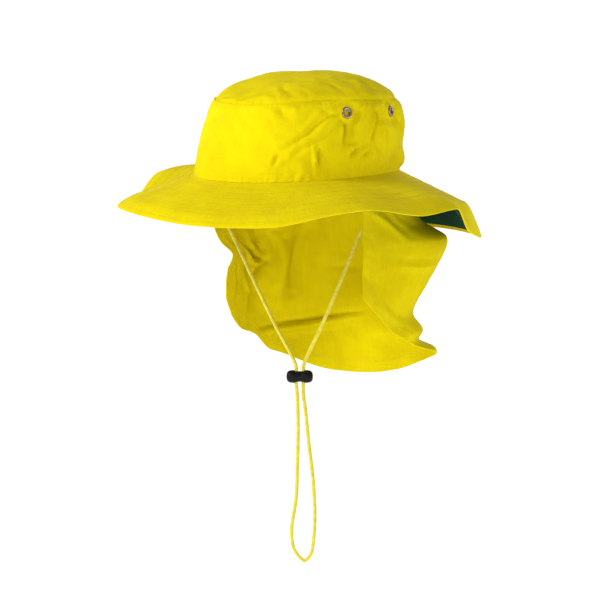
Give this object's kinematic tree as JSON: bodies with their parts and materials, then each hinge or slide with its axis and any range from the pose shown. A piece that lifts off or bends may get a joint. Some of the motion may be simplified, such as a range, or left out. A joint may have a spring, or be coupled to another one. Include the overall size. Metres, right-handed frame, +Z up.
{
  "type": "legionnaire hat",
  "caption": "Bucket-crowned sun hat with a soft wavy brim, a neck flap round the sides and back, vent eyelets and a chin cord with a slider.",
  "frame": {"origin": "the middle of the head opening, where the hat sits on a head", "axes": "+Z up through the crown, the wearer faces -Y, +X is the wearer's left"},
  "size_m": [0.3059, 0.3168, 0.4239],
  "materials": {
    "yellow_cotton": "matt woven cotton drill",
    "green_cotton": "matt dark woven cotton drill",
    "nickel": "polished stamped nickel",
    "yellow_cord": "braided cord",
    "black_plastic": "moulded, slightly glossy"
  },
  "bodies": {
    "root": {"crown_top": "yellow_cotton", "crown_side": "yellow_cotton", "brim_upper": "yellow_cotton", "brim_under": "green_cotton", "neck_flap": "yellow_cotton", "eyelet_left_front": "nickel", "eyelet_left_back": "nickel", "eyelet_right_front": "nickel", "eyelet_right_back": "nickel", "chin_cord": "yellow_cord", "cord_lock": "black_plastic", "cord_tab_left": "yellow_cotton", "cord_tab_right": "yellow_cotton"}
  },
  "joints": []
}
